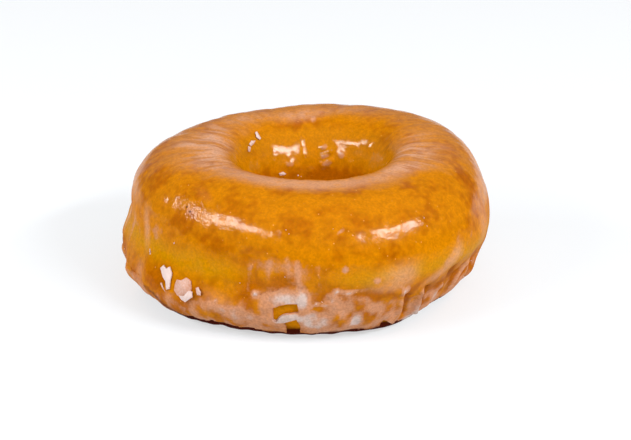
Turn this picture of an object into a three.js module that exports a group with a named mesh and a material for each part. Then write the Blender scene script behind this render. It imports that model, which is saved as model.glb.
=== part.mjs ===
// A yeast-raised ring doughnut under a thin sugar glaze, resting on its flat base.
// Millimetres, +Z up. The origin is on the table, under the middle of the ring.
// Seen from the front, which is -Y, the right-hand side is +X.
import * as THREE from "three";

// Driving sizes
const upperRadius = 48; // the upper half at its fullest
const lowerRadius = 46.5; // the lower half at its fullest
const height = 36.5;
const seamHeight = 13.1; // the pale line where the two fried halves meet
const crestRadius = 30.8; // of the ring of highest points
const holeRadius = 16.2; // the throat, at the seam's height

// The section is a rounded square: 1 is an ellipse, and less is fuller at the shoulders.
const upperFullness = 0.8;
const innerFullness = 0.61; // of the upper half on the hole's side, which drops more steeply
const lowerFullness = 0.91;
const flattening = 0.93; // how far the base is pressed flat by its own weight

const seamGroove = 0.2;
const seamGrooveWidth = 2.2;
const seamBlend = 5; // above and below the seam, where one half's radius turns into the other's

// Unevenness that goes all the way round, as so many waves, largest towards an angle in degrees.
const threeSidedSwell = { waves: 3, size: 1.8, towards: 60 };
const crestShift = { waves: 1, size: 1, towards: 128 };
const heightTilt = { waves: 1, size: 0.5, towards: 2 };
const heightSag = { waves: 2, size: 0.45, towards: 24 };
const holeOval = { waves: 2, size: 0.4, towards: 15 };
const swellInLowerHalf = 0.6; // how much of the three-sided swell the lower half shares

// Unevenness in one place, centred on an angle in degrees and fading to either side.
const frontLeftBulge = { size: 5.5, at: -143, spread: 38 };
const frontRightTuck = { size: 5.6, at: -36, spread: 25 };
const leftPinch = { size: 1.8, at: 174, spread: 27, height: 21.6, reach: 3 };

const stepsRoundRing = 120;
const stepsRoundSection = 40;

const degrees = THREE.MathUtils.degToRad;

// A bell curve: 1 at the middle, fading to nothing on both sides.
function fade(distance, spread) {
  return Math.exp(-((distance / spread) ** 2));
}

function swell({ waves, size, towards }, angle) {
  return size * Math.cos(waves * (angle - degrees(towards)));
}

function local({ size, at, spread }, angle) {
  const turn = angle - degrees(at);
  const nearest = Math.atan2(Math.sin(turn), Math.cos(turn));
  return size * fade(nearest, degrees(spread));
}

// cos or sin raised to a fullness, keeping its sign.
function rounded(value, fullness) {
  return Math.sign(value) * Math.abs(value) ** fullness;
}

// The section's fullness on one side of it.
function fullnessAt(sectionAngle) {
  if (Math.sin(sectionAngle) < 0) {
    return lowerFullness;
  }
  return Math.cos(sectionAngle) < 0 ? innerFullness : upperFullness;
}

// Height above the table at one place on the section.
function heightAt(ringAngle, sectionAngle) {
  const rise = Math.sin(sectionAngle);
  const crest = height + swell(heightTilt, ringAngle) + swell(heightSag, ringAngle);
  if (rise >= 0) {
    return seamHeight + (crest - seamHeight) * rounded(rise, fullnessAt(sectionAngle));
  }
  const drop = (seamHeight + flattening) * rounded(-rise, lowerFullness);
  return Math.max(0, seamHeight - drop);
}

// Radius of the outer side at a height: the upper half above the seam, the lower half below it.
function outerSide(ringAngle, z) {
  const ringSwell = swell(threeSidedSwell, ringAngle);
  const bulge = local(frontLeftBulge, ringAngle) - local(frontRightTuck, ringAngle);
  const upper = upperRadius + ringSwell;
  const lower = lowerRadius + swellInLowerHalf * ringSwell + bulge;
  const aboveSeam = THREE.MathUtils.smoothstep(z - seamHeight, -seamBlend, seamBlend);
  const groove = seamGroove * fade(z - seamHeight, seamGrooveWidth);
  const pinch = local(leftPinch, ringAngle) * fade(z - leftPinch.height, leftPinch.reach);
  return THREE.MathUtils.lerp(lower, upper, aboveSeam) - groove - pinch;
}

// Distance from the hole's axis at one place on the section.
function radiusAt(ringAngle, sectionAngle, z) {
  const outward = rounded(Math.cos(sectionAngle), fullnessAt(sectionAngle));
  const crest = crestRadius + swell(crestShift, ringAngle);
  const hole = holeRadius + swell(holeOval, ringAngle);
  const side = outward >= 0 ? outerSide(ringAngle, z) - crest : crest - hole;
  return crest + side * outward;
}

// An even ring of dough, which rises and settles into the uneven one.
function makeDough() {
  const tube = crestRadius - holeRadius;
  const dough = new THREE.TorusGeometry(crestRadius, tube, stepsRoundSection, stepsRoundRing);
  const place = dough.getAttribute("position");
  for (let i = 0; i < place.count; i += 1) {
    const ringAngle = Math.atan2(place.getY(i), place.getX(i));
    const fromTubeCentre = Math.hypot(place.getX(i), place.getY(i)) - crestRadius;
    const sectionAngle = Math.atan2(place.getZ(i), fromTubeCentre);
    const z = heightAt(ringAngle, sectionAngle);
    const radius = radiusAt(ringAngle, sectionAngle, z);
    place.setXYZ(i, radius * Math.cos(ringAngle), radius * Math.sin(ringAngle), z);
  }
  dough.computeBoundingBox();
  const middle = dough.boundingBox.getCenter(new THREE.Vector3());
  dough.translate(-middle.x, -middle.y, 0);
  dough.computeVertexNormals();
  return dough;
}

const glazedCrust = new THREE.MeshStandardMaterial({
  color: 0xd98107,
  roughness: 0.35,
  metalness: 0,
});

const ring = new THREE.Mesh(makeDough(), glazedCrust);
ring.name = "ring_doughnut";

const doughnut = new THREE.Group();
doughnut.add(ring);

export default doughnut;
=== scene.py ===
import math
import random
from functools import partial

import bpy
import numpy as np
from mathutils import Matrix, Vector, noise
from mathutils.bvhtree import BVHTree


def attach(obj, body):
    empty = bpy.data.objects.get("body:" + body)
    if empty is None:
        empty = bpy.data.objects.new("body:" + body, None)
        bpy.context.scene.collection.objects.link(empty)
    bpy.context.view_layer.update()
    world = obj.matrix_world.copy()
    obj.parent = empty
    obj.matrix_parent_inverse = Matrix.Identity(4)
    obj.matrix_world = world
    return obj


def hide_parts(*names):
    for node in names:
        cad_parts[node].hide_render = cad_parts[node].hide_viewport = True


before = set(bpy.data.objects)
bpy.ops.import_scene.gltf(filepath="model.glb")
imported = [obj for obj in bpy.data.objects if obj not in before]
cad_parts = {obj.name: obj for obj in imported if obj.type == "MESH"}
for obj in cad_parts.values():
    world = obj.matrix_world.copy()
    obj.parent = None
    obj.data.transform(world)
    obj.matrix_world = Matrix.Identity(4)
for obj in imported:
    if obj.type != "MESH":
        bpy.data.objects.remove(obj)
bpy.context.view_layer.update()        # one body, "root", and one node, "ring_doughnut"
mm = 0.001

# Small helpers

def linear(hexColour):  # an sRGB hex value as the linear colour that a socket takes
    parts = [int(hexColour[i:i + 2], 16) / 255 for i in (1, 3, 5)]
    parts = [p / 12.92 if p <= 0.04045 else ((p + 0.055) / 1.055) ** 2.4 for p in parts]
    return (*parts, 1.0)


def setMode(mode):
    bpy.ops.object.mode_set(mode=mode)


def deselectAll():
    if bpy.context.object and bpy.context.object.mode == "EDIT":
        setMode("OBJECT")
    bpy.ops.object.select_all(action="DESELECT")


def pick(piece):  # makes one piece the selected and active one
    deselectAll()
    piece.select_set(True)
    bpy.context.view_layer.objects.active = piece


def applyModifier(piece, kind, **settings):
    pick(piece)
    modifier = piece.modifiers.new(kind.title(), kind)
    for name, value in settings.items():
        setattr(modifier, name, value)
    bpy.ops.object.modifier_apply(modifier=modifier.name)


def copyOf(source, name):
    piece = source.copy()
    piece.data = source.data.copy()
    piece.name = name
    bpy.context.collection.objects.link(piece)
    return piece


def points(piece):  # the vertices of a piece, one row each
    places = np.zeros(len(piece.data.vertices) * 3)
    piece.data.vertices.foreach_get("co", places)
    return places.reshape(-1, 3)


def normals(piece):
    directions = np.zeros(len(piece.data.vertices) * 3)
    piece.data.vertices.foreach_get("normal", directions)
    return directions.reshape(-1, 3)


def movePoints(piece, places):
    piece.data.vertices.foreach_set("co", places.ravel())
    piece.data.update()


def bell(distance, reach):  # 1 in the middle, fading to nothing on both sides
    return np.exp(-(distance / reach) ** 2)


def ramp(value, low, high):  # 0 below low, 1 above high, smooth between
    share = np.clip((value - low) / (high - low), 0, 1)
    return share * share * (3 - 2 * share)


def window(value, start, full, fading, end):  # a ramp up, and then one down
    return ramp(value, start, full) * ramp(-value, -end, -fading)


def wrapped(angle):  # an angle in degrees, brought between -180 and 180
    return (angle + 180) % 360 - 180


# Every unevenness: how strong it is, the size of its lumps in mm, and the seed of its noise

unevenness = {
    "broad": (0.22, 13, 1),  # these are heights in mm on the skin
    "middle": (0.1, 5, 2),
    "fine": (0.05, 2.2, 3),
    "wrinkles": (0.05, 2.6, 4),
    "wall": (0.08, 4, 5),
    "wallFine": (0.015, 1.8, 6),
    "foot": (0.25, 3.2, 7),
    "glazeTop": (1.1, 5, 11),
    "glazeTopFine": (0.5, 2, 12),
    "glazeEdge": (0.25, 3, 31),
    "glazeEdgeFine": (0.2, 1.2, 32),
    "waist": (0.9, 20, 25),
    "waistFine": (0.6, 5, 28),
    "burntEdgeAndShadow": (0.3, 3, 29),
    "flake": (0.14, 1.6, 41),
    "flakeFine": (0.03, 0.7, 42),
    "cloudAndGlint": (0.2, 4, 21),  # and these are shares of a colour
    "cloudFine": (0.16, 1.6, 27),
    "hiddenCloud": (1, 7, 22),
    "bakeBroad": (0.12, 16, 23),
    "bakeAndShade": (0.1, 6, 24),
    "blotches": (1, 9, 26),
}
noiseReach = 1.6  # brings the noise up to about -1 to 1


def lumps(name, places):
    strength, grain, seed = unevenness[name]
    shift = Vector((seed, 1.7 * seed, -seed))
    values = np.array([noise.noise(Vector(place) / (grain * mm) + shift) for place in places])
    return strength * (values * noiseReach)


# The camera, at the photo's viewing angle

shot = {
    "width": 631,
    "height": 440,
    "focalPixels": 2091,
    "sensor": 36,
    "distance": 550 * mm,
    "nearest": 50 * mm,
    "elevation": 21,
    "aim": Vector((2.2 * mm, 0, 15.9 * mm)),
}


def makeCamera():
    up = math.radians(shot["elevation"])
    back = Vector((0, -math.cos(up), math.sin(up)))
    bpy.ops.object.camera_add(location=shot["aim"] + back * shot["distance"])
    camera = bpy.context.object
    camera.name = "photoCamera"
    camera.rotation_euler = (math.radians(90) - up, 0, 0)
    camera.data.sensor_width = shot["sensor"]
    camera.data.lens = shot["sensor"] * shot["focalPixels"] / shot["width"]
    camera.data.clip_start = shot["nearest"]
    bpy.context.scene.camera = camera
    bpy.context.view_layer.update()
    return camera


def pixelRay(x, y):  # from the camera to one pixel, before the camera is turned
    right, down = x - shot["width"] / 2, y - shot["height"] / 2
    return Vector((right, -down, -shot["focalPixels"]))


camera = makeCamera()
turned = camera.matrix_world.to_3x3()
print("camera made")

# The dough: an even ring, drawn onto the CAD node's uneven form

ringAxis = (1.8 * mm, 0)   # the hole's middle
sectionMiddle = (30.8, 17)  # mm from that axis and above the table: section angles turn about it
patternRadius = 40          # mm, the ring on which patterns that follow the skin are laid out
outside = 80                # mm from the axis, well clear of the dough

dough = {
    "ringSteps": 120,
    "sectionSteps": 48,
    "tube": 17.4 * mm,
    "tubeCentre": 30.6 * mm,
    "middleHeight": 17.5 * mm,
    "subdivisions": 2,
    "weld": 0.01 * mm,
}


def weld(piece, distance):  # merges the points of a piece that lie together
    pick(piece)
    setMode("EDIT")
    bpy.ops.mesh.select_all(action="SELECT")
    bpy.ops.mesh.remove_doubles(threshold=distance)
    setMode("OBJECT")


def makeGuide():  # a merged copy of the CAD node, only to model on
    guide = copyOf(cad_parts["ring_doughnut"], "guide")
    guide.parent = None
    weld(guide, dough["weld"])
    return guide


def makeDoughRing(guide):
    deselectAll()
    bpy.ops.mesh.primitive_torus_add(
        location=(*ringAxis, dough["middleHeight"]),
        major_radius=dough["tubeCentre"],
        minor_radius=dough["tube"],
        major_segments=dough["ringSteps"],
        minor_segments=dough["sectionSteps"],
    )
    ring = bpy.context.object
    ring.name = "doughRing"
    bpy.ops.object.transform_apply(location=True, rotation=True, scale=True)
    applyModifier(
        ring,
        "SHRINKWRAP",
        target=guide,
        wrap_method="PROJECT",
        use_negative_direction=True,
        use_positive_direction=True,
    )
    levels = dough["subdivisions"]
    applyModifier(ring, "SUBSURF", levels=levels, render_levels=levels)
    pick(ring)
    bpy.ops.object.shade_smooth()
    return ring


guide = makeGuide()
ring = makeDoughRing(guide)
skin = BVHTree.FromObject(ring, bpy.context.evaluated_depsgraph_get())
print("dough ring", len(ring.data.polygons), "faces")

# Places on the dough's skin, each with the direction it faces

def inPhoto(x, y):  # where the camera sees the dough at one pixel
    towards = (turned @ pixelRay(x, y)).normalized()
    place, facing, face, distance = skin.ray_cast(camera.location, towards)
    if place:
        return place, facing
    away = shot["distance"]
    for i in range(3):  # just past the outline: the nearest skin to the line of sight
        place, facing, face, distance = skin.find_nearest(camera.location + towards * away)
        away = (place - camera.location).dot(towards)
    return place, facing


def compass(angle):  # the direction out from the hole's axis, at an angle round the ring
    return Vector((math.cos(math.radians(angle)), math.sin(math.radians(angle)), 0))


def onSide(angle, height):  # the outer side, at an angle round the ring
    out = compass(angle)
    start = Vector((*ringAxis, height * mm)) + out * outside * mm
    place, facing, face, distance = skin.ray_cast(start, -out)
    return place, facing


def inHole(angle, height):  # the wall of the hole
    start = Vector((*ringAxis, height * mm))
    place, facing, face, distance = skin.ray_cast(start, compass(angle))
    return place, facing


def patch(places, at, size, turn=0, hard=1, strength=1):
    # a soft oval on the skin: size is half its width round the ring and half its height, in mm
    middle, facing = at
    around = Vector((-(middle.y - ringAxis[1]), middle.x - ringAxis[0], 0)).normalized()
    up = facing.cross(around).normalized()
    tilt = math.radians(turn)
    along = np.array(around * math.cos(tilt) + up * math.sin(tilt))
    across = np.array(up * math.cos(tilt) - around * math.sin(tilt))
    offset = (places - np.array(middle)) / mm
    far = ((offset @ along) / size[0]) ** 2 + ((offset @ across) / size[1]) ** 2
    depth = offset @ np.array(facing)
    return strength * np.exp(-far ** hard) * bell(depth, 5)


def stroke(places, start, end, width, strength=1):  # a soft line on the skin
    a = np.array(start[0])
    line = np.array(end[0]) - a
    share = np.clip(((places - a) @ line) / (line @ line), 0, 1)
    distance = np.linalg.norm(places - a - share[:, None] * line, axis=1)
    return strength * bell(distance, width * mm)


def patches(places, listed):
    return sum(patch(places, **one) for one in listed)


def strokes(places, listed):
    return sum(stroke(places, **one) for one in listed)


def spot(x, y, size, strength, turn=0, hard=1):  # what patch takes, placed by a pixel
    return {"at": inPhoto(x, y), "size": size, "strength": strength, "turn": turn, "hard": hard}


def lineAt(start, end, width, strength):  # what stroke takes, placed by two pixels
    return {"start": inPhoto(*start), "end": inPhoto(*end), "width": width, "strength": strength}


def ringPlaces(places):  # angle round the ring, angle round its section, and height in mm
    x = places[:, 0] - ringAxis[0]
    y = places[:, 1] - ringAxis[1]
    z = places[:, 2] / mm
    roundRing = np.degrees(np.arctan2(y, x))
    out = np.hypot(x, y) / mm - sectionMiddle[0]
    roundSection = np.degrees(np.arctan2(z - sectionMiddle[1], out))
    return roundRing, roundSection, z


# The thick glaze round the foot. Its top is a height in mm at each angle round the ring.

foot = {
    "top": [
        (-180, 11), (-150, 11), (-125, 12), (-108, 14), (-100, 17.5), (-86, 18), (-79, 16.5),
        (-72, 15.5), (-62, 13), (-50, 12.5), (-35, 11.5), (-19, 10), (10, 11), (45, 14), (80, 12),
        (115, 15), (150, 12), (180, 11),
    ],
    "fade": 3.5,         # mm over which it thins out upwards
    "thickness": 0.7,    # mm
    "tuck": 0.05,        # mm more that the dough is set back under it
    "tuckAtRim": 0.12,   # share of that along the dough's lowest edge
    "bottom": 0.4,       # mm above the table
    "frontBottom": 1.9,  # mm higher still along the front, where the dark underside, painted as contact shadow, shows below it
    "leftRaise": 1.1,    # how much higher that is at the left
    "leftAngle": -142,
    "leftReach": 28,
    "burntShadowTop": 3.9,     # mm, of the browned edge and painted contact shadow on the dough behind it
    "burntShadowLeft": 1.3,    # mm more at the left
    "weld": 0.03 * mm,
    "thinnest": 0.06,    # share of the thickness where it fades out
    "thickRim": 1.4,     # and the most that it has, round the broken windows
}

# Creases where the dough is gathered at the foot: a ridge stands out, a groove is pressed in

pleats = [
    lineAt((421, 290), (413, 310), 0.8, 0.8),
    lineAt((426, 289), (416.5, 309), 0.8, -0.85),
    lineAt((438, 284), (426, 303), 1.6, 0.45),
    lineAt((453, 268), (440, 290), 0.9, -0.75),
    lineAt((466, 262), (451, 281), 1.3, 0.55),
    lineAt((469, 266), (450, 284), 0.6, -0.5),
    lineAt((407, 296), (404.5, 314), 0.7, -0.6),
    lineAt((402, 293), (399, 312), 0.8, 0.35),
    lineAt((337, 290.5), (348.5, 293), 0.45, 0.14),
    lineAt((348.5, 293), (356, 290.5), 0.45, 0.14),
    lineAt((356, 291), (403, 296), 1.4, -0.1),
    lineAt((331, 296), (337, 290.5), 0.5, 0.2),
    lineAt((313, 305), (326, 305), 0.35, 0.12),
]


def hiddenPleats(seed):  # the same kind of creases where the photo doesn't reach
    draw = random.Random(seed)
    found = []
    angle = -12
    while angle < 200:
        lean = draw.uniform(-7, 2)
        high = draw.uniform(7.5, 11)
        found.append({
            "start": onSide(angle, high),
            "end": onSide(angle + lean, draw.uniform(2, 3.5)),
            "width": draw.uniform(0.7, 1.5),
            "strength": draw.choice([-0.7, -0.5, 0.4, 0.55]) * draw.uniform(0.6, 1),
        })
        angle += draw.uniform(4, 13)
    return found


pleats += hiddenPleats(5)

# Small folds and blisters that catch the light

folds = [
    lineAt((299.5, 134), (303.5, 156), 0.3, 0.3),
    lineAt((304, 133), (307, 150), 0.6, -0.12),
    lineAt((320, 146), (330, 152), 0.4, 0.28),
    lineAt((330, 152), (321, 157), 0.4, 0.22),
    lineAt((321, 163), (333, 160), 0.4, 0.3),
    lineAt((322, 168), (330, 164), 0.35, 0.25),
    lineAt((317, 229), (318, 238), 0.22, 0.16),
    lineAt((318, 238), (314, 252), 0.22, 0.16),
    lineAt((323, 206), (324, 228), 0.3, 0.06),
    lineAt((412, 206), (426, 225), 0.35, 0.1),
    lineAt((133, 222), (131, 242), 0.3, 0.14),
    lineAt((137, 222), (136, 246), 0.3, 0.1),
    lineAt((141, 224), (141, 244), 0.3, 0.08),
]

blisters = [
    spot(341, 156, (0.9, 1), 0.3),
    spot(350, 163, (0.6, 0.6), 0.25),
    spot(290, 164, (1.1, 0.7), 0.25),
    spot(282, 175, (0.9, 0.7), 0.3),
    spot(311, 170, (0.7, 0.6), 0.25),
    spot(165, 193, (1.2, 0.9), 0.06),
    spot(333, 149, (0.8, 0.7), 0.2),
    spot(324, 147, (0.9, 0.6), 0.4, turn=20),
    spot(330, 150, (0.8, 0.6), 0.4, turn=-20),
    spot(324, 156, (1.1, 0.6), 0.45, turn=25),
    spot(322, 165, (0.8, 0.6), 0.4),
    spot(329, 161, (1.2, 0.5), 0.45, turn=15),
    spot(123.5, 231, (7, 2.4), 0.75),
    spot(129, 211, (6, 2), -0.35),
    spot(476, 256, (5, 2.5), -0.7),
    spot(203, 316, (8, 3.5), 0.55),
    spot(176, 307, (6, 3.5), 0.55),
    spot(440, 296, (5, 2.5), 0.5, turn=30),
    spot(470, 270, (4, 2.5), 0.8),
    spot(125, 252, (5, 2), -0.2),
]


def hiddenBlisters(count, seed):  # small ones all round the wall of the hole
    draw = random.Random(seed)
    return [
        {
            "at": inHole(draw.uniform(-180, 180), draw.uniform(20, 33)),
            "size": (draw.uniform(0.4, 0.9), draw.uniform(0.4, 0.8)),
            "strength": draw.uniform(0.05, 0.2),
        }
        for i in range(count)
    ]


blisters += hiddenBlisters(45, 8)

swelling = {  # mm that the skin stands out in one region
    "backCrest": 0.35,
    "backWall": -0.17,
    "footRim": 0.6,
}
pleatDepth = 1.9  # mm for a pleat of strength 1


def footShare(places):  # 1 under the thick glaze, fading to 0 above it
    roundRing, roundSection, z = ringPlaces(places)
    angles, tops = zip(*foot["top"])
    top = np.interp(roundRing, angles, tops)
    top = top + lumps("glazeTop", places) + lumps("glazeTopFine", places)
    return ramp(top - z, 0, foot["fade"]) * window(roundSection, -100, -85, 30, 45)


def roughen(places):  # how far the skin stands out from the plain form, in mm
    roundRing, roundSection, z = ringPlaces(places)
    turn = np.radians(roundRing)
    offTable = ramp(z, 0.1, 1.5)
    atBack = ramp(np.sin(turn), -0.3, 0.6)
    onCrest = window(roundSection, 25, 60, 105, 122)
    onTop = window(roundSection, 5, 50, 110, 150)
    onWall = ramp(np.abs(roundSection), 112, 130)
    onBackWall = bell(roundSection - 132, 10) * bell(wrapped(roundRing - 88), 48)
    onFoot = window(roundSection, -75, -50, -12, 8)
    onFootRim = bell(z - 1.4, 1.6) * ramp(roundSection, -72, -58)
    outFromHole = np.column_stack([
        patternRadius * np.cos(turn), patternRadius * np.sin(turn), roundSection * 0.05,
    ]) * mm
    height = lumps("broad", places) + lumps("middle", places) + lumps("fine", places)
    height = height + lumps("wrinkles", outFromHole) * onTop
    height = height + onWall * (lumps("wall", places) + lumps("wallFine", places))
    height = height + onFoot * lumps("foot", places * (1, 1, 0.35))
    height = height + swelling["backCrest"] * atBack * onCrest
    height = height + swelling["backWall"] * onBackWall + swelling["footRim"] * onFootRim
    height = height + pleatDepth * strokes(places, pleats)
    height = height + strokes(places, folds) + patches(places, blisters)
    return height * offTable


formed = points(ring)      # the plain form, which every pattern below is placed on
outwards = normals(ring)
formedHeight = formed[:, 2] / mm
fromFootLeft = wrapped(ringPlaces(formed)[0] - foot["leftAngle"])
share = footShare(formed)
tuckedIn = foot["tuckAtRim"] + (1 - foot["tuckAtRim"]) * ramp(formedHeight, 2.4, 4.4)
under = share * (foot["thickness"] + foot["tuck"]) * tuckedIn
shaped = formed + outwards * ((roughen(formed) - under) * mm)[:, None]
shaped[:, 2] = np.maximum(shaped[:, 2], 0)
movePoints(ring, shaped)
print("dough shaped")

# What is where on the skin: sugar clouds with painted glints, a frosty veil with painted
# reflection, yellow waist, browning with painted shade, and a painted contact shadow

cloudsAndGlints = [  # thick white or pinkish sugar; the first three are the rims of the broken windows; the last five are painted glints on the wall of the hole
    spot(290, 299.5, (4.9, 2.5), 0.72, turn=3),
    spot(303.5, 300, (1.3, 2.4), 0.6),
    spot(288, 319, (3.6, 1.5), 1, turn=12, hard=2),
    spot(267.5, 307, (2.4, 4), 0.35),
    spot(316, 321, (4.2, 3.2), 0.5, hard=4),
    spot(357, 321, (1.5, 2.9), 0.9, hard=2),
    spot(400, 319, (4.2, 1.1), 0.8, turn=14, hard=2),
    spot(344, 305, (3.4, 3.6), 0.22, turn=20, hard=3),
    spot(383, 306, (6, 2), 0.1, hard=3),
    spot(433, 296, (1.8, 3.4), 0.4, turn=35, hard=2),
    spot(360, 291, (5, 0.8), 0.25, hard=2),
    spot(407, 290, (1.1, 1.4), 0.6, hard=2),
    spot(409.5, 275, (1.9, 2.1), 0.34),
    spot(409.5, 275, (0.9, 1), -0.25),
    spot(378, 281, (1, 1), 0.6),
    spot(345.5, 270, (0.7, 0.8), 0.7),
    spot(340, 232, (1.2, 0.5), 0.45, turn=30),
    spot(244, 317, (8, 1.6), 0.34, turn=-8),
    spot(217, 307, (2.6, 1.2), 0.4, turn=-12, hard=2),
    spot(240, 311, (2.2, 1.2), 0.35, turn=-20),
    spot(427, 293, (2.2, 3.5), 0.2, turn=30),
    spot(461, 268, (1.8, 3.5), 0.3, turn=35),
    spot(450, 262, (3.5, 1.6), 0.15, turn=20),
    spot(137, 262, (2, 3), 0.15),
    spot(133, 228, (1, 4.5), 0.35),
    spot(158, 230, (2.6, 2), 0.22, turn=-40),
    spot(276, 267, (9, 2.4), 0.24),
    spot(300, 278, (2.5, 3), 0.22),
    spot(255, 293.7, (0.7, 0.7), 0.8),
    spot(255, 294, (1.6, 1.5), 0.2),
    spot(216, 300, (0.5, 0.3), 0.7),
    spot(313, 119, (0.9, 1.8), 0.5),
    spot(324, 147, (1, 0.8), 0.4, turn=20, hard=2),
    spot(325, 156, (1.3, 0.7), 0.4, turn=20, hard=2),
    spot(327, 163, (1.8, 0.8), 0.35, turn=15, hard=2),
    spot(341, 155, (1.1, 0.9), 0.4, turn=-20, hard=2),
    spot(290, 164, (1.6, 0.7), 0.35, hard=2),
]

frostSheenPatches = [  # frosty patches of thin sugar with painted reflection, besides the ones round the hole
    spot(131, 205, (2.2, 7), 0.85, turn=5),
    spot(147, 226, (1.7, 6), 0.65, turn=25),
    spot(138, 272, (3, 4), 0.5),
    spot(216, 300, (6, 3), 0.4, turn=-12),
    spot(272, 284, (4, 3), 0.15),
    spot(484, 222, (5, 7), 0.5),
    spot(296, 117, (9, 3.6), 0.45),
    spot(345, 112, (14, 4), 0.12),
    spot(236, 122, (9, 3.4), 0.2, turn=20),
    spot(457, 254, (4, 2.5), 0.6, turn=40),
    spot(437, 275, (5, 2.2), 0.6, turn=30),
    spot(405, 280, (4.5, 3.5), 0.5),
    spot(464, 264, (2, 3.5), 0.7, turn=35),
    spot(432, 294, (1.6, 3.6), 0.7, turn=35),
    spot(382, 290, (4.5, 1.6), 0.35),
    spot(395, 273, (10, 3), 0.28, turn=15),
    spot(205, 196, (5, 2), 0.2, turn=-20),
]

bubbles = [  # fine foam in the glaze, which breaks up the highlights
    spot(194, 208, (6.5, 4), 1, turn=-12, hard=2),
    spot(422, 222, (2, 2), 1),
    spot(325, 156, (1.8, 4), 0.8, hard=2),
    spot(285, 146, (2, 1), 0.6),
    spot(290, 164, (2.4, 1.2), 0.8),
    spot(342, 157, (1.6, 1.8), 0.7),
    spot(305, 172, (4, 1), 0.8),
]

glazeEdges = [  # pale broken edges where one sheet of glaze ends on another
    lineAt((337, 290.5), (348.5, 293.5), 0.5, 0.25),
    lineAt((348.5, 293.5), (356, 290.5), 0.5, 0.25),
    lineAt((337, 290.5), (331, 302), 0.4, 0.25),
    lineAt((311, 307), (317, 304), 0.35, 0.4),
    lineAt((317, 304), (327, 306), 0.35, 0.4),
    lineAt((402, 286), (406, 297), 0.5, 0.4),
    lineAt((388, 321), (415, 316), 0.7, 0.55),
    lineAt((297, 262), (300, 290), 0.6, 0.22),
    lineAt((318, 266), (321, 292), 0.5, 0.2),
    lineAt((287, 258), (289, 274), 0.6, 0.18),
    lineAt((270, 262), (268, 280), 0.7, 0.2),
    lineAt((250, 266), (247, 290), 0.6, 0.2),
    lineAt((460, 236), (447, 262), 1.2, 0.2),
    lineAt((472, 232), (462, 254), 1, 0.18),
    lineAt((136, 215), (141, 232), 1.2, 0.16),
    lineAt((141, 214), (156, 238), 1.4, 0.14),
]

bakesAndShade = [  # darker, redder crust; one is painted shade on the hole's right wall
    spot(288, 281, (4.2, 1.5), 0.7, hard=2),
    spot(264, 284, (6.5, 2.2), 0.95),
    spot(152, 276, (2.4, 3.4), 0.4, turn=-20),
    spot(341, 296, (5, 0.9), 0.5),
    spot(420, 282, (5, 1.4), 0.45, turn=25),
    spot(152, 283, (3.2, 2), 0.45, turn=-30),
    spot(333, 310, (1, 0.8), 0.7),
    spot(374, 310.5, (1.3, 0.9), 0.6, turn=20),
    spot(394, 309, (1, 0.6), 0.6),
    spot(384, 321, (2, 0.6), 0.8, turn=25, hard=2),
    spot(451, 276, (1.8, 3.2), 1, turn=30),
    spot(428, 296, (5, 3.6), 0.35, turn=30),
    spot(420, 300, (0.8, 4), 0.8, turn=20),
    spot(405.5, 306, (0.6, 3), 0.7, turn=5),
    spot(297, 127, (1.4, 2.8), 0.9, turn=-20, hard=2),
    spot(322, 114, (1, 1.4), 0.9, hard=2),
    spot(410, 187, (2, 2.4), 0.35),
    spot(462, 173, (4.5, 1.8), 0.35, turn=60),
    spot(152, 178, (7, 5), 0.45),
    spot(383, 300, (7, 2), 0.3),
    spot(165, 218, (6, 5), 0.3),
    spot(480, 205, (3, 6), 0.25),
    spot(213, 243, (7, 2.4), 0.5, turn=-15),
    # painted shade on the shadowed right wall of the hole
    spot(380, 150, (4, 5), 0.3),
    spot(222, 256, (9, 3.2), 0.5, turn=-12),
    spot(192, 232, (5, 2.6), 0.4, turn=-20),
    spot(475, 263, (2.2, 3), 0.5, turn=40),
]

outlineShadow = [  # painted shadow: the dark underside at the left, where the dough rolls in at the foot, drawn along the outline
    lineAt((145, 285.5), (154, 293), 0.5, 0.6),
    lineAt((154, 293), (168, 303.5), 0.6, 0.9),
    lineAt((168, 303.5), (183, 311.5), 0.7, 1),
    lineAt((183, 311.5), (198, 317.5), 0.6, 1),
]

tints = {  # shares of each colour, by region
    "footCloud": 0.2,
    "lowFootCloud": 0.25,
    "hiddenCloud": 0.55,
    "pleatRidgeLight": 0.7,
    "pleatGrooveShade": 1.4,
    "lowSideShade": 0.3,
    "undersideBake": 0.9,
    "throatShade": 1.5,
    "wallLight": -0.5,
    "seamBake": -0.25,
    "wallSeam": 0.25,
    "leftFrostSheen": 0.9,
    "rightFrostSheen": 0.85,
    "backFrostSheen": 0.26,
    "rimFrostSheen": 0.85,
}
waist = {  # the pale seam, in mm, and where it stops at the right
    "height": 18.6,
    "reach": 2.7,
    "end": spot(481, 247, (4, 6), 0.9),
}
burntEdgeAndShadow ={"height": 1.7, "front": 1.2, "left": 1.3}  # mm above the table, and more in places, of the fried edge and painted contact shadow


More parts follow.
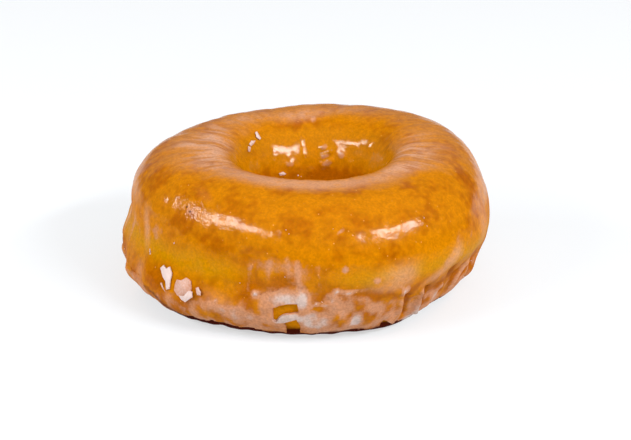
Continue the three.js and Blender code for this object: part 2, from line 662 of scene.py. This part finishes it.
def paint(places):  # one value a point for each kind of colouring
    roundRing, roundSection, z = ringPlaces(places)
    aroundSection = np.abs(roundSection)
    fromFront = wrapped(roundRing + 95)
    share = footShare(places)
    creases = strokes(places, pleats)

    cloudAndGlint = share * (tints["footCloud"] + tints["lowFootCloud"] * ramp(7 - z, 0, 6))
    cloudAndGlint = cloudAndGlint + share * lumps("cloudAndGlint", places * (1, 1, 0.6))
    cloudAndGlint = cloudAndGlint + share * lumps("cloudFine", places * (1, 1, 0.4))
    cloudAndGlint = cloudAndGlint + strokes(places, glazeEdges) + patches(places, cloudsAndGlints)
    # painted light on the pleats' ridges, less white in their grooves
    cloudAndGlint = cloudAndGlint + tints["pleatRidgeLight"] * creases
    hidden = ramp(np.abs(wrapped(roundRing + 90)), 85, 120)
    hidden = hidden * share * ramp(lumps("hiddenCloud", places), 0.25, 0.7)
    cloudAndGlint = cloudAndGlint + tints["hiddenCloud"] * hidden

    middle = waist["height"] + lumps("waist", places) + lumps("waistFine", places)
    sides = 0.15 + 0.85 * ramp(np.abs(wrapped(roundRing + 98)), 8, 26)
    seam = bell(z - middle, waist["reach"]) * sides * ramp(-roundSection, -40, -25)
    seam = seam * (1 - patch(places, **waist["end"]))

    bakeAndShade = lumps("bakeBroad", places) + lumps("bakeAndShade", places) + patches(places, bakesAndShade)
    # painted shade in the pleats' grooves, less brown on their ridges
    bakeAndShade = bakeAndShade - tints["pleatGrooveShade"] * creases + tints["seamBake"] * seam
    # painted shade: the outer side darker towards the table
    bakeAndShade = bakeAndShade + tints["lowSideShade"] * ramp(24 - z, 0, 12) * ramp(-roundSection, -45, -20)
    bakeAndShade = bakeAndShade + tints["undersideBake"] * window(roundSection, -170, -130, -100, -50)
    # painted shade deep in the hole's throat
    bakeAndShade = bakeAndShade + tints["throatShade"] * ramp(aroundSection, 138, 160)
    # painted light: the wall of the hole made less brown and brighter
    bakeAndShade = bakeAndShade + tints["wallLight"] * ramp(aroundSection, 112, 125)
    seam = seam + tints["wallSeam"] * window(aroundSection, 112, 124, 138, 152)

    # frosty sugar together with a painted reflection of the bright studio, where the top turns away
    # at grazing angles
    left = bell(roundSection - 94, 25) * bell(wrapped(roundRing - 178), 36)
    right = bell(roundSection - 103, 25) * bell(wrapped(roundRing + 14), 30)
    back = bell(roundSection - 90, 28) * bell(abs(fromFront) - 180, 70)
    rim = bell(roundSection - 99, 13) * bell(fromFront, 60)
    blotches = 0.55 + 0.45 * ramp(lumps("blotches", places), -0.5, 0.5)
    scored = tints["leftFrostSheen"] * left + tints["rightFrostSheen"] * right + tints["backFrostSheen"] * back
    scored = scored * blotches
    lip = 110 + 10 * np.abs(np.cos(np.radians(roundRing)))
    frostAndSheen = (scored + tints["rimFrostSheen"] * rim) * ramp(lip + 6 - aroundSection, 0, 12)
    frostAndSheen = frostAndSheen + patches(places, frostSheenPatches)
    foam = patches(places, bubbles)

    bare = window(roundSection, -165, -140, -110, -80)
    # a dark band along the table: a fried edge and a painted contact shadow
    edge = burntEdgeAndShadow["height"] + burntEdgeAndShadow["front"] * ramp(85 - np.abs(fromFront + 3), 0, 22)
    edge = edge + lumps("burntEdgeAndShadow", places) + burntEdgeAndShadow["left"] * bell(fromFront + 47, 28)
    burntAndShadow = ramp(edge - z, 0, 0.7) * window(roundSection, -80, -68, -40, -30)
    # the painted shadow line along the outline at the left
    for one in outlineShadow:
        burntAndShadow = np.maximum(burntAndShadow, stroke(places, **one))
    wet = ramp(aroundSection, 105, 125)
    glossy = 0.25 + 0.75 * ramp(roundSection, 24, 36) * ramp(lip - roundSection, 6, 26) + wet
    return {
        "cloudAndGlint": cloudAndGlint, "bakeAndShade": bakeAndShade, "seam": seam, "frostAndSheen": frostAndSheen, "scored": scored,
        "foam": foam, "bare": bare, "burntAndShadow": burntAndShadow, "glossy": glossy,
    }


def storePaint(piece, channels, places):
    for name, values in channels.items():
        layer = piece.data.attributes.new(name, "FLOAT", "POINT")
        layer.data.foreach_set("value", values.astype(np.float32))
    roundRing, roundSection, z = ringPlaces(places)
    turn = np.radians(roundRing)
    radius = patternRadius * mm
    sectionLength = np.radians(wrapped(roundSection - 90)) * dough["tube"]
    lines = np.column_stack([radius * np.cos(turn), radius * np.sin(turn), sectionLength])
    layer = piece.data.attributes.new("skin", "FLOAT_VECTOR", "POINT")
    layer.data.foreach_set("vector", lines.astype(np.float32).ravel())


channels = paint(formed)
channels["bare"] = np.maximum(channels["bare"], ramp(share, 0.35, 0.7))
# painted contact shadow on the dough behind the foot glaze near the table, which shows below the
# glaze and in its chips
burntShadowTop = foot["burntShadowTop"] + foot["burntShadowLeft"] * bell(fromFootLeft, foot["leftReach"])
shadowBehindGlaze = share * ramp(burntShadowTop - formedHeight, 0, 0.6)
channels["burntAndShadow"] = np.maximum(channels["burntAndShadow"], shadowBehindGlaze)
storePaint(ring, channels, formed)
print("dough painted")

# The thick foot glaze, laid over the recessed dough, with its chips broken out

chips = {  # corners in pixels, or in mm sideways and up where there is an angle round the ring
    "mainWindow": {"corners": [
        (272.3, 309), (279, 306.3), (286.6, 304), (297.4, 303.8), (298.6, 312.5),
        (285, 314.8), (280.3, 317.5), (277, 322), (273, 320.5),
    ]},
    "mainNotch": {"corners": [
        (284, 324), (290.6, 320.6), (296.3, 319), (300.8, 325.4), (299.4, 337),
        (287, 337), (286.6, 328.9),
    ]},
    "smallNotch": {"corners": [
        (378.5, 325.5), (383.5, 320.3), (390.5, 321.5), (391, 326), (384, 328),
    ]},
    "backLeft": {"angle": 162, "corners": [
        (-3, 8.5), (-1, 10.2), (3, 9.5), (4, 6), (1.5, 4.5), (-2.5, 6),
    ]},
    "backNotch": {"angle": 118, "corners": [(-2.5, -1), (-2, 4.2), (0.5, 5.6), (3.5, 4), (3, -1)]},
    "backRight": {"angle": 58, "corners": [(-4, 7), (-1, 9), (2.5, 8), (3, 5.2), (-2.5, 4.6)]},
    "rightNotch": {"angle": 12, "corners": [(-2, -1), (-1.4, 3.2), (1.2, 4.1), (2.2, -1)]},
}

chipping = {
    "eyeDistance": 0.5,  # metres
    "farthest": 0.53,    # metres from the eye, so that only the near side is cut
    "narrowest": 0.99,   # cosine of the widest angle from the chip's middle
    "around": 8 * mm,    # from the line of sight, where the sheet's faces are cut along the outline
    "ringRadius": 46,    # mm
    "height": 6,         # mm, of the eye at the back
}


def chipPlanes(chip):  # the eye that a chip's outline is drawn from, and its corners in the round
    if "angle" not in chip:
        eye = camera.location
        rays = [pixelRay(x, y).normalized() for x, y in chip["corners"]]
        return eye, [eye + turned @ ray * chipping["eyeDistance"] for ray in rays]
    out = compass(chip["angle"])
    sideways = Vector((-out.y, out.x, 0))
    eye = Vector((*ringAxis, chipping["height"] * mm)) + out * chipping["eyeDistance"]
    corners = [
        Vector((*ringAxis, z * mm)) + out * chipping["ringRadius"] * mm + sideways * across * mm
        for across, z in chip["corners"]
    ]
    return eye, corners


def insideOutline(place, eye, corners):  # whether a place is behind the drawn outline
    axis = sum((corner - eye for corner in corners), Vector()) / len(corners)
    ray = place - eye
    off = ray.normalized().dot(axis.normalized()) < chipping["narrowest"]
    if off or ray.length > chipping["farthest"]:
        return False
    right = axis.cross(Vector((0, 0, 1))).normalized()
    up = right.cross(axis).normalized()

    def flat(p):
        ray = p - eye
        ray = ray / ray.dot(axis)
        return ray.dot(right), ray.dot(up)

    px, py = flat(place)
    found = False
    flats = [flat(corner) for corner in corners]
    for i, (ax, ay) in enumerate(flats):
        bx, by = flats[i - 1]
        if (ay > py) != (by > py) and px < (bx - ax) * (py - ay) / (by - ay) + ax:
            found = not found
    return found


def selectFaces(piece, wanted):
    pick(piece)
    bpy.context.tool_settings.mesh_select_mode = (False, False, True)
    for face in piece.data.polygons:
        face.select = wanted(face)
    setMode("EDIT")


def cutChip(sheet, chip):
    eye, corners = chipPlanes(chip)
    middle = sum(corners, Vector()) / len(corners)
    line = (middle - eye).normalized()

    def near(face):
        ray = face.center - eye
        off = (ray - line * ray.dot(line)).length
        return off < chipping["around"] and ray.length < chipping["farthest"]

    for i, corner in enumerate(corners):
        side = (corner - eye).cross(corners[i - 1] - eye).normalized()
        selectFaces(sheet, near)
        bpy.ops.mesh.bisect(plane_co=corner, plane_no=side, use_fill=False)
        setMode("OBJECT")
    selectFaces(sheet, lambda face: insideOutline(face.center, eye, corners))
    bpy.ops.mesh.delete(type="FACE")
    setMode("OBJECT")


def makeFootGlaze():
    sheet = copyOf(ring, "footGlaze")
    for layer in list(sheet.data.attributes):
        if layer.name in channels or layer.name == "skin":
            sheet.data.attributes.remove(layer)
    movePoints(sheet, formed)
    atFront = ramp(85 - np.abs(wrapped(ringPlaces(formed)[0] + 98)), 0, 22)
    atLeft = bell(fromFootLeft, foot["leftReach"])
    raised = foot["frontBottom"] * atFront * (1 + foot["leftRaise"] * atLeft)
    ragged = foot["bottom"] + raised + lumps("glazeEdge", formed) + lumps("glazeEdgeFine", formed)
    allowed = (share > 0.002) & (formedHeight > ragged)
    selectFaces(sheet, lambda face: not all(allowed[v] for v in face.vertices))
    bpy.ops.mesh.delete(type="FACE")
    setMode("OBJECT")
    for chip in chips.values():
        cutChip(sheet, chip)
    weld(sheet, foot["weld"])
    places = points(sheet)
    outwardsHere = np.array([skin.find_nearest(Vector(place))[1] for place in places])
    shareHere = footShare(places)
    rims = patches(places, cloudsAndGlints[:3])  # of the broken windows
    raised = roughen(places) - 0.03 * (1 - shareHere) + 0.3 * rims
    storePaint(sheet, paint(places), places)
    thickness = sheet.vertex_groups.new(name="thickness")
    thinnest = foot["thinnest"]
    deep = np.clip(thinnest + (1 - thinnest) * shareHere + 0.4 * rims, 0, foot["thickRim"])
    for index, value in enumerate(deep / foot["thickRim"]):
        thickness.add([index], float(value), "REPLACE")
    movePoints(sheet, places + outwardsHere * (raised * mm)[:, None])
    applyModifier(
        sheet,
        "SOLIDIFY",
        thickness=foot["thickness"] * foot["thickRim"] * mm,
        offset=-1,
        vertex_group="thickness",
        use_even_offset=False,
    )
    pick(sheet)
    bpy.ops.object.shade_smooth_by_angle(angle=math.radians(50))
    return sheet


footGlaze = makeFootGlaze()
print("foot glaze", len(footGlaze.data.polygons), "faces")

# Flakes of dried glaze: thin curled plates that stand on the skin

flakes = {  # outlined in pixels; lift and thickness are in mm
    "blade": {"lift": 0.5, "thickness": 0.4, "pink": 0, "outline": [
        (160, 268), (163.5, 265), (166, 269), (169.5, 266.5), (171.5, 273), (170, 281),
        (169, 289), (165.8, 289.6), (165, 281), (162.5, 277),
    ]},
    "dome": {"lift": 0.4, "thickness": 0.45, "pink": 0.8, "outline": [
        (174.5, 284), (177, 279.5), (181, 280.5), (186, 277.5), (190.5, 281),
        (191, 289), (189.5, 294), (183, 297.5), (177, 295.5), (173.5, 290),
    ]},
    "crest": {"lift": 0.85, "thickness": 0.4, "pink": 0.1, "outline": [
        (178.5, 295.5), (183.5, 296), (188, 291), (191.5, 291.5), (192, 297.5),
        (185, 302.3), (181.5, 300),
    ]},
    "fleck": {"lift": 0.3, "thickness": 0.3, "pink": 0.5, "outline": [
        (195.7, 288), (198.5, 287), (201, 292), (200.5, 295.5), (197, 295),
    ]},
    "bottomSpot": {"lift": 0.35, "thickness": 0.35, "pink": 0.3, "outline": [
        (163, 303), (166, 302), (168.8, 304), (167.5, 306.4), (164.5, 305.6),
    ]},
    "splinter": {"lift": 0.2, "thickness": 0.2, "pink": 0.6, "outline": [
        (159.8, 283), (161.4, 282.8), (168.4, 297), (166.8, 298),
    ]},
    "holeShard": {"lift": 0.35, "thickness": 0.3, "pink": 0.1, "outline": [
        (255, 132.5), (257, 131.5), (261, 138), (260, 139.5), (256.5, 137),
    ]},
    "holeCrumb": {"lift": 0.3, "thickness": 0.3, "pink": 0.35, "outline": [
        (249, 144), (251.5, 140.5), (255.5, 140.8), (254, 143.5), (251.5, 146),
    ]},
    "holeCrumbBelow": {"lift": 0.2, "thickness": 0.25, "pink": 0.6, "outline": [
        (248.3, 146), (251, 147), (250, 152), (248, 151),
    ]},
    "holeBit": {"lift": 0.35, "thickness": 0.3, "pink": 0.2, "outline": [
        (279, 173.4), (283, 171.8), (286.5, 174), (284, 175.3), (280, 175.6),
    ]},
}
flakeRise = 0.3   # mm that a flake's middle stands above its rim
flakeBevel = 0.09  # mm


def makeFlake(name, outline, lift, thickness, pink):
    places = [inPhoto(x, y) for x, y in outline]
    facing = sum((normal for place, normal in places), Vector()).normalized()
    deselectAll()
    bpy.ops.mesh.primitive_circle_add(vertices=len(places), fill_type="TRIFAN", radius=1 * mm)
    flake = bpy.context.object
    flake.name = name
    bpy.ops.object.transform_apply(location=True, rotation=True, scale=True)
    middle = sum((place for place, normal in places), Vector()) / len(places)
    lifting = (camera.location - middle).normalized()  # towards the camera, so it stays in place
    lifting = lifting / max(0.4, lifting.dot(facing))
    centre = min(flake.data.vertices, key=lambda vertex: vertex.co.length)
    edge = [vertex for vertex in flake.data.vertices if vertex != centre]
    edge.sort(key=lambda vertex: math.atan2(vertex.co.y, vertex.co.x))
    centre.co = middle + lifting * (lift + flakeRise) * mm
    for vertex, (place, normal) in zip(edge, places):
        vertex.co = place + lifting * lift * mm
    setMode("EDIT")
    bpy.ops.mesh.select_all(action="SELECT")
    bpy.ops.mesh.subdivide(number_cuts=3)
    bpy.ops.mesh.normals_make_consistent(inside=False)
    setMode("OBJECT")
    flake.data.update()
    side = sum((face.normal for face in flake.data.polygons), Vector())
    if side.dot(facing) < 0:
        pick(flake)
        setMode("EDIT")
        bpy.ops.mesh.flip_normals()
        setMode("OBJECT")
    here = points(flake)
    bumps = lumps("flake", here) + lumps("flakeFine", here)
    movePoints(flake, here + np.array(facing) * (bumps * mm)[:, None])
    applyModifier(flake, "SOLIDIFY", thickness=thickness * mm, offset=-1)
    applyModifier(flake, "BEVEL", width=flakeBevel * mm, segments=2, limit_method="ANGLE")
    fromMiddle = np.linalg.norm(points(flake) - np.array(middle), axis=1)
    edges = fromMiddle / fromMiddle.max()
    layer = flake.data.attributes.new("pink", "FLOAT", "POINT")
    layer.data.foreach_set("value", (pink - 0.15 + 0.3 * edges ** 2).astype(np.float32))
    return flake


def joinAs(name, pieces):
    deselectAll()
    for piece in pieces:
        piece.select_set(True)
    bpy.context.view_layer.objects.active = pieces[0]
    bpy.ops.object.join()
    joined = bpy.context.object
    joined.name = name
    return joined


driedFlakes = joinAs("driedFlakes", [makeFlake(name, **flake) for name, flake in flakes.items()])
pick(driedFlakes)
bpy.ops.object.shade_smooth_by_angle(angle=math.radians(60))
print("dried flakes", len(driedFlakes.data.polygons), "faces")

# Sugar crystals: small broken grains

crystals = {
    "named": [  # pixel of the photo and size in mm
        (150.2, 249.5, 0.3), (150.4, 251.5, 0.34), (150.6, 253.5, 0.28), (174.5, 243, 0.32),
        (286, 230, 0.16), (289, 234, 0.14), (255, 293.7, 0.3), (216, 300, 0.24),
        (298, 175.5, 0.3), (301, 176.5, 0.22), (285, 277, 0.15), (420, 221, 0.16),
        (424, 218, 0.16), (427, 226, 0.14), (240, 283, 0.16), (333, 229, 0.14),
        (322, 302, 0.2), (316, 304, 0.22),
    ],
    "scattered": 90,
    "seed": 12,
    "standOut": 0.3,  # of its size, the share by which a grain's middle stands off the skin
    "pink": 0.2,
}


def makeCrystal(place, facing, size, draw):
    deselectAll()
    middle = place + facing * size * crystals["standOut"] * mm
    bpy.ops.mesh.primitive_ico_sphere_add(subdivisions=1, radius=size * mm, location=middle)
    grain = bpy.context.object
    grain.rotation_euler = [draw.uniform(0, 6.28) for i in range(3)]
    grain.scale = (draw.uniform(0.8, 1.3), draw.uniform(0.6, 1), draw.uniform(0.5, 0.8))
    bpy.ops.object.transform_apply(location=True, rotation=True, scale=True)
    return grain


def makeCrystals():
    draw = random.Random(crystals["seed"])
    grains = []
    for x, y, size in crystals["named"]:
        grains.append(makeCrystal(*inPhoto(x, y), size, draw))
    for i in range(crystals["scattered"]):
        angle = draw.uniform(-20, 200)
        place, facing = onSide(angle, draw.uniform(1, 13))
        grains.append(makeCrystal(place, facing, draw.uniform(0.1, 0.26), draw))
    joined = joinAs("sugarCrystals", grains)
    layer = joined.data.attributes.new("pink", "FLOAT", "POINT")
    layer.data.foreach_set("value", [crystals["pink"]] * len(joined.data.vertices))
    return joined


sugarCrystals = makeCrystals()
print("sugar crystals", len(sugarCrystals.data.polygons), "faces")

# Materials

def fill(tree, node, inputs):  # links each input to a socket, or sets its value
    for name, value in inputs.items():
        if isinstance(value, bpy.types.NodeSocket):
            tree.links.new(value, node.inputs[name])
        else:
            node.inputs[name].default_value = value


def addNode(tree, kind, inputs, output=0, **settings):  # adds a node, and gives one of its outputs
    node = tree.nodes.new("ShaderNode" + kind)
    for name, value in settings.items():
        setattr(node, name, value)
    fill(tree, node, inputs)
    return node.outputs[output]


def newMaterial(name):
    material = bpy.data.materials.new(name)
    material.use_nodes = True
    return material, material.node_tree, material.node_tree.nodes["Principled BSDF"]


def layColours(tree, colour, layers, look):  # each layer's share is the product of its factors
    for name, *factors in layers:
        share = factors[0]
        for factor in factors[1:]:
            share = addNode(tree, "Math", {0: share, 1: factor}, operation="MULTIPLY")
        inputs = {0: share, 6: colour, 7: linear(look[name])}
        colour = addNode(tree, "Mix", inputs, 2, data_type="RGBA")
    return colour


# Fried yeast dough under a set sugar glaze: deep orange-gold, glossy but slightly wrinkled, and
# milky to pinkish-white wherever the sugar is thick. Bare crust is browner and dull.
crustLook = {
    "gold": "#ba7001",
    # the browned crust, also used for painted shade
    "bakedAndShaded": "#a05400",
    "waist": "#b87c00",
    # a dark fried edge, also used for the painted contact shadow and the pinholes
    "burntAndShadow": "#421106",
    # thin frosty sugar, with a painted reflection of the bright studio
    "frostSheen": "#c99472",
    "milky": "#bd835e",
    "white": "#c6aea3",
    "bareCrust": "#c57a05",
    "spark": "#e6a456",
    "blotch": 6.5,       # mm, broad patches where the fat browned the dough a little more
    "mottle": 1.7,       # mm, the smaller ones
    "speckle": 0.6,      # mm, the skin's grain
    "streak": (3.0, 9),  # mm across and along the wrinkles that run out from the hole
    "scratch": (2.8, 5.5),  # mm, the short brown ones between them
    "peel": 1.8,         # mm, dimples in the glaze
    "pits": 3.2,         # mm between burst bubbles
    "sparks": 1.8,       # mm between pale specks of sugar, painted as tiny glints
    "foam": 1.0,         # mm, the fine bubbles in the left highlight
    "bump": 0.16,        # mm, the height of all the relief below
    "bumpStrength": 0.7,
    "roughness": 0.5,
    "coat": 0.6,
    "coatRoughness": 0.13,
    "coatIor": 1.45,
    "pinholes": [inPhoto(186.8, 206.9)[0], inPhoto(190, 211.6)[0]],
    "pinholeRadii": (0.12, 0.4),  # mm, of the dark middle and the whole
}


def glazedCrust():
    look = crustLook
    material, tree, shader = newMaterial("glazedFriedCrust")
    add = partial(addNode, tree)
    smooth = {"interpolation_type": "SMOOTHSTEP"}
    times = {"operation": "MULTIPLY"}
    timesPlus = {"operation": "MULTIPLY_ADD"}
    place = add("TexCoord", {}, "Object")
    skinLines = add("Attribute", {}, "Vector", attribute_name="skin")
    masks = {name: add("Attribute", {}, "Fac", attribute_name=name) for name in channels}

    # patterns
    patterns = {}
    for name, detail in (("blotch", 3), ("mottle", 3), ("speckle", 3), ("peel", 2), ("foam", 2)):
        inputs = {"Vector": place, "Scale": 1 / (look[name] * mm), "Detail": detail}
        patterns[name] = add("TexNoise", inputs, "Fac")
    for name, detail in (("streak", 2.5), ("scratch", 3)):
        across, along = look[name]
        stretched = add("Mapping", {"Vector": skinLines, "Scale": (1, 1, across / along)})
        inputs = {"Vector": stretched, "Scale": 1 / (across * mm), "Detail": detail}
        patterns[name] = add("TexNoise", inputs, "Fac")
    for name, low, high in (("pits", 0.02, 0.11), ("sparks", 0.05, 0.13)):
        inputs = {"Vector": place, "Scale": 1 / (look[name] * mm)}
        distance = add("TexVoronoi", inputs, "Distance", feature="F1")
        picked = add("SeparateColor", {0: distance.node.outputs["Color"]})
        chosen = add("Math", {0: picked, 1: 0.5}, operation="GREATER_THAN")
        near = add("MapRange", {0: distance, 1: low, 2: high, 3: 1, 4: 0}, **smooth)
        patterns[name] = add("Math", {0: near, 1: chosen}, **times)
    pinholes = 0.0
    low, high = look["pinholeRadii"]
    for hole in look["pinholes"]:
        distance = add("VectorMath", {0: place, 1: tuple(hole)}, "Value", operation="DISTANCE")
        near = add("MapRange", {0: distance, 1: low * mm, 2: high * mm, 3: 1, 4: 0}, **smooth)
        pinholes = add("Math", {0: near, 1: pinholes}, operation="ADD")

    # how brown each place is, painted shade included, and how the grain breaks up the clouds
    centred = {}
    browningAndShade = masks["bakeAndShade"]
    for name, strength in (("blotch", 2.7), ("mottle", 1.4), ("speckle", 1.0)):
        centred[name] = add("Math", {0: patterns[name], 1: 0.5}, operation="SUBTRACT")
        browningAndShade = add("Math", {0: centred[name], 1: strength, 2: browningAndShade}, **timesPlus)
    breaks = 0.0
    for name, strength in (("mottle", 0.42), ("speckle", 0.12)):
        breaks = add("Math", {0: centred[name], 1: strength, 2: breaks}, **timesPlus)
    cloudy = add("MapRange", {0: masks["cloudAndGlint"], 1: 0, 2: 0.15}, **smooth)
    broken = add("Math", {0: breaks, 1: cloudy, 2: masks["cloudAndGlint"]}, **timesPlus)

    # smooth ramps: a value, where its ramp starts and ends, and the share at each end
    shares = {
        "brownedAndShaded": (browningAndShade, -0.25, 0.9, 0, 1),
        "seamGrain": (patterns["mottle"], 0.3, 0.6, 0.55, 1),
        "scratches": (patterns["scratch"], 0.56, 0.68, 0, 1),
        "scratched": (masks["scored"], 0.1, 0.5, 0.05, 0.5),
        "streaks": (patterns["streak"], 0.36, 0.64, -0.45, 0.3),
        "streaked": (masks["scored"], 0.05, 0.4, 0, 1),
        "frostAndSheenShare": (masks["frostAndSheen"], 0.08, 0.85, 0, 1),
        "frostSheenGrain": (patterns["mottle"], 0.3, 0.5, 0.6, 1),
        "milky": (broken, 0.1, 0.45, 0, 1),
        "white": (broken, 0.5, 1.0, 0, 1),
        "fineGrain": (patterns["speckle"], 0.3, 0.7, 0.88, 1.1),
        "coarseGrain": (patterns["mottle"], 0.3, 0.7, 1.06, 0.93),
        "sparkled": (patterns["blotch"], 0.42, 0.6, 0.1, 0.6),
        "glazed": (masks["bare"], 0.2, 1, 1, 0.15),
    }
    for name, row in shares.items():
        shares[name] = add("MapRange", dict(enumerate(row)), **smooth)
    lined = add("Math", {0: shares["streaks"], 1: shares["streaked"], 2: 0.7}, **timesPlus)

    # colour
    layers = [
        # browned crust, with painted shade in the hole, on the low side and in the pleats' grooves
        ("bakedAndShaded", shares["brownedAndShaded"]),
        ("waist", masks["seam"], shares["seamGrain"]),
        # the frosty layer: thin sugar with a painted reflection
        ("frostSheen", shares["frostAndSheenShare"], lined, shares["frostSheenGrain"]),
        ("bakedAndShaded", shares["scratches"], shares["scratched"]),
        # the milky and white layers: thick sugar, with painted glints in the hole and painted light
        # on the pleats' ridges
        ("milky", shares["milky"]),
        ("white", shares["white"]),
        ("bareCrust", masks["bare"]),
    ]
    colour = layColours(tree, linear(look["gold"]), layers, look)
    grain = add("Math", {0: shares["fineGrain"], 1: shares["coarseGrain"]}, **times)
    inputs = {0: 1, 6: colour, 7: add("CombineColor", {0: grain, 1: grain, 2: grain})}
    colour = add("Mix", inputs, 2, data_type="RGBA", blend_type="MULTIPLY")
    # painted contact shadow and fried edge, with the dark pinholes
    burntAndShadow = add("Math", {0: pinholes, 1: masks["burntAndShadow"]}, operation="MAXIMUM")
    layers = [
        # pale specks of sugar painted as tiny glints
        ("spark", patterns["sparks"], shares["sparkled"]),
        ("bakedAndShaded", patterns["pits"], 0.5),
        ("burntAndShadow", burntAndShadow),
    ]
    colour = layColours(tree, colour, layers, look)

    # relief: a pattern, the mask that it keeps to, and its height
    reliefs = [
        (patterns["peel"], None, 0.6),
        (patterns["speckle"], None, 0.4),
        (patterns["streak"], masks["scored"], 0.5),
        (patterns["scratch"], masks["scored"], 0.6),
        (patterns["sparks"], None, 0.2),
        (patterns["foam"], masks["foam"], 2),
        (patterns["pits"], None, -0.6),
        (pinholes, None, -0.6),
    ]
    height = 0.0
    for pattern, mask, rise in reliefs:
        if mask is not None:
            pattern = add("Math", {0: pattern, 1: mask}, **times)
        height = add("Math", {0: pattern, 1: rise, 2: height}, **timesPlus)
    inputs = {"Height": height, "Distance": look["bump"] * mm, "Strength": look["bumpStrength"]}
    bump = add("Bump", inputs)

    gloss = add("Math", {0: shares["glazed"], 1: masks["glossy"]}, **times)
    gloss = add("Math", {0: gloss, 1: look["coat"]}, **times)
    fill(tree, shader, {
        "Base Color": colour,
        "Normal": bump,
        "Coat Normal": bump,
        "Coat Weight": gloss,
        "Coat Roughness": look["coatRoughness"],
        "Coat IOR": look["coatIor"],
        "Roughness": look["roughness"],
        "Specular IOR Level": 0,
    })
    return material


# Dried sugar glaze: a brittle white crust, satin, faintly pink where the dough shines through
sugarLook = {
    "white": "#d4bdb6",
    "pink": "#bc8468",
    "roughness": 0.4,
    "shine": 0.3,
    "grain": 0.5,  # mm
    "bump": 0.1,   # mm
}


def driedSugar():
    look = sugarLook
    material, tree, shader = newMaterial("driedSugarGlaze")
    add = partial(addNode, tree)
    place = add("TexCoord", {}, "Object")
    pink = add("Attribute", {}, "Fac", attribute_name="pink")
    inputs = {"Vector": place, "Scale": 1 / (look["grain"] * mm), "Detail": 3}
    grain = add("TexNoise", inputs, "Fac")
    centred = add("Math", {0: grain, 1: 0.5}, operation="SUBTRACT")
    share = add("Math", {0: centred, 1: pink}, operation="ADD", use_clamp=True)
    colour = layColours(tree, linear(look["white"]), [("pink", share)], look)
    bump = add("Bump", {"Height": grain, "Distance": look["bump"] * mm, "Strength": 0.5})
    fill(tree, shader, {
        "Base Color": colour,
        "Normal": bump,
        "Roughness": look["roughness"],
        "Specular IOR Level": look["shine"],
    })
    return material


crust = glazedCrust()
sugar = driedSugar()
ring.data.materials.append(crust)
footGlaze.data.materials.append(crust)
driedFlakes.data.materials.append(sugar)
sugarCrystals.data.materials.append(sugar)
print("materials made")

# Floor and light

studio = {
    "floorSize": 6.0,
    "floorColour": "#9ea2a6",
    "floorGlow": 0.59,  # the table is a sheet lit from below
    "ambient": 0.1,
    "lampDistance": 0.9,
    "lampAim": Vector((0, 0, 18 * mm)),
}

softboxes = {
    "softboxLeft": {"towards": (-0.853, -0.150, 0.500), "size": (0.50, 0.075), "power": 4.0},
    "softboxFrontLeft": {"towards": (-0.646, -0.542, 0.530), "size": (0.32, 0.065), "power": 2.4},
    "softboxRight": {"towards": (0.650, -0.480, 0.588), "size": (0.62, 0.09), "power": 7.2},
    "cardBehind": {"towards": (-0.05, 0.95, 0.30), "size": (1.2, 0.5), "power": 0.4},
    "softboxTop": {
        "towards": (0.36, -0.30, 1.1), "size": (1.8, 1.8), "power": 8.15, "glossy": False,
    },
}


def makeFloor():
    deselectAll()
    bpy.ops.mesh.primitive_plane_add(size=studio["floorSize"], location=(0, 0, 0))
    floor = bpy.context.object
    floor.name = "floor"
    material, tree, shader = newMaterial("paleTable")
    fill(tree, shader, {
        "Base Color": linear(studio["floorColour"]),
        "Roughness": 0.9,
        "Specular IOR Level": 0.1,
        "Emission Color": (1, 1, 1, 1),
        "Emission Strength": studio["floorGlow"],
    })
    floor.data.materials.append(material)


def makeSoftbox(name, towards, size, power, glossy=True):
    direction = Vector(towards).normalized()
    middle = studio["lampAim"] + direction * studio["lampDistance"]
    bpy.ops.object.light_add(type="AREA", location=middle)
    lamp = bpy.context.object
    lamp.name = name
    lamp.data.shape = "RECTANGLE"
    lamp.data.size, lamp.data.size_y = size
    lamp.data.energy = power
    lamp.rotation_euler = direction.to_track_quat("Z", "Y").to_euler()
    lamp.visible_glossy = glossy


def makeWorld():
    world = bpy.data.worlds.new("studioWhite")
    world.use_nodes = True
    bpy.context.scene.world = world
    tree = world.node_tree
    fill(tree, tree.nodes["Background"], {"Color": (1, 1, 1, 1), "Strength": studio["ambient"]})


deselectAll()
makeFloor()
for name, softbox in softboxes.items():
    makeSoftbox(name, **softbox)
makeWorld()
bpy.context.scene.view_settings.view_transform = "Standard"
print("floor and light made")

bpy.data.objects.remove(guide)
for piece in (ring, footGlaze, driedFlakes, sugarCrystals):
    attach(piece, "root")
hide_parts("ring_doughnut")
